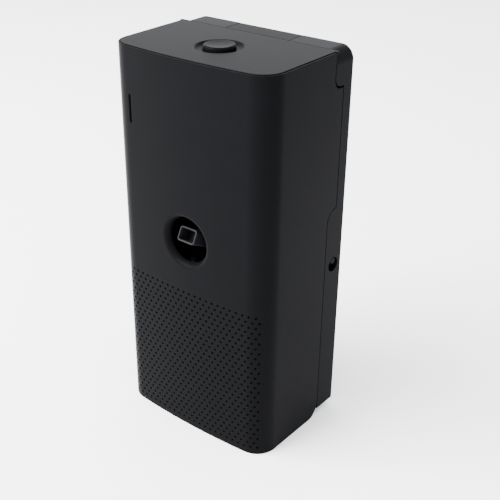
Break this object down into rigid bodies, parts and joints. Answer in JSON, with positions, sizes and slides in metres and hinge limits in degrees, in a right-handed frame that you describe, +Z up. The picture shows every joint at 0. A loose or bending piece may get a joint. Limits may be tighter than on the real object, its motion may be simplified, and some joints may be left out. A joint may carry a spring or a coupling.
{
  "type": "automatic aerosol spray dispenser",
  "caption": "Upright wall or shelf dispenser with a hinged bowed cover, a funnel spray port, a geared can press and a top release button.",
  "frame": {"origin": "middle of the base, on the surface the dispenser stands on, under the middle of its overall box", "axes": "+Z up, the front with the spray port faces -Y, +X to the right when it is seen from the front"},
  "size_m": [0.101, 0.0701, 0.2162],
  "materials": {
    "shell_black": "fine matt moulded grain",
    "keeper_black": "rougher matt grain",
    "cap_black": "fine matt moulded grain",
    "button_black": "satin",
    "frame_plastic": "plain moulded",
    "smoked_lens": "smoked, polished",
    "spout_black": "moulded, rounded rim",
    "steel": "zinc plated",
    "spring_steel": "drawn wire",
    "tinplate": "pressed tinplate",
    "can_paint": "plain painted tinplate",
    "valve_plastic": "natural moulded",
    "gear_plastic": "natural acetal",
    "brass": "turned",
    "motor_steel": "drawn and plated",
    "endcap_plastic": "moulded",
    "wire_jacket": "soft wire jacket",
    "cell_jacket": "plain printed sleeve",
    "contact_metal": "nickel plated strip",
    "board_green": "solder mask",
    "chip_black": "moulded epoxy",
    "capacitor_sleeve": "heat-shrunk sleeve",
    "led_body": "tinted clear",
    "sensor_body": "ceramic with a clear coat",
    "switch_metal": "tinned",
    "knob_black": "moulded"
  },
  "bodies": {
    "base": {"rear_shell": "shell_black", "latch_keeper": "keeper_black", "chassis": "frame_plastic", "chassis_screws": "steel", "hinge_pins": "steel", "refill_can": "can_paint", "valve_cup": "tinplate", "gear_axles": "steel", "gearbox_cover": "frame_plastic", "gearbox_screws": "steel", "motor_can": "motor_steel", "motor_endcap": "endcap_plastic", "motor_leads": "wire_jacket", "battery_cells": "cell_jacket", "battery_springs": "spring_steel", "battery_plates": "contact_metal", "battery_leads": "wire_jacket", "circuit_board": "board_green", "board_screws": "steel", "control_chip": "chip_black", "board_capacitor": "capacitor_sleeve", "status_led": "led_body", "light_sensor": "sensor_body", "switch_bodies": "switch_metal"},
    "cover": {"front_shell": "shell_black", "top_cap": "cap_black", "sensor_lens": "smoked_lens", "latch_bracket": "frame_plastic", "bracket_screws": "steel"},
    "button": {"release_button": "button_black", "latch_arm": "frame_plastic", "arm_screw": "steel", "button_spring": "spring_steel"},
    "spray": {"spray_head": "spout_black", "valve_stem": "valve_plastic"},
    "lever": {"press_lever": "gear_plastic"},
    "gear_2": {"gear_stage_2": "gear_plastic"},
    "gear_1": {"gear_stage_1": "gear_plastic"},
    "motor": {"motor_rotor": "motor_steel", "motor_pinion": "brass"},
    "power_knob": {"power_slider": "knob_black"},
    "mode_knob": {"mode_slider": "knob_black"}
  },
  "joints": [
    {"name": "cover_hinge", "type": "hinge", "parent": "base", "child": "cover", "pos_m": [0, 0.0109, 0.009], "axis": [1, 0, 0], "range_deg": [0, 75], "deforming": ["latch_arm"]},
    {"name": "button_press", "type": "slide", "parent": "cover", "child": "button", "axis": [0, 0, -1], "range_m": [0, 0.002], "stiffness_N_per_m": 1500, "springref_m": -0.001, "deforming": ["button_spring"]},
    {"name": "motor_spin", "type": "hinge", "parent": "base", "child": "motor", "pos_m": [0.024, 0, 0.181], "axis": [0, 1, 0], "range_deg": [0, 334.15]},
    {"name": "gear_1_spin", "type": "hinge", "parent": "base", "child": "gear_1", "pos_m": [0.024, 0, 0.1695], "axis": [0, -1, 0], "range_deg": [0, 92.87]},
    {"name": "gear_2_spin", "type": "hinge", "parent": "base", "child": "gear_2", "pos_m": [0.024, 0, 0.158], "axis": [0, 1, 0], "range_deg": [0, 25.83]},
    {"name": "lever_pivot", "type": "hinge", "parent": "base", "child": "lever", "pos_m": [0.024, 0, 0.137], "axis": [0, -1, 0], "range_deg": [0, 4.35]},
    {"name": "spray_press", "type": "slide", "parent": "base", "child": "spray", "axis": [0, 0, -1], "range_m": [0, 0.00182]},
    {"name": "power_slide", "type": "slide", "parent": "base", "child": "power_knob", "axis": [0, 0, 1], "range_m": [0, 0.0025]},
    {"name": "mode_slide", "type": "slide", "parent": "base", "child": "mode_knob", "axis": [0, 0, 1], "range_m": [0, 0.004]}
  ],
  "couplings": [
    {"joint": "gear_1_spin", "follows": "motor_spin", "ratio": 0.27778},
    {"joint": "gear_2_spin", "follows": "motor_spin", "ratio": 0.07716},
    {"joint": "lever_pivot", "follows": "motor_spin", "ratio": 0.01286},
    {"joint": "spray_press", "follows": "motor_spin", "m_per_rad": 0.00030864}
  ]
}
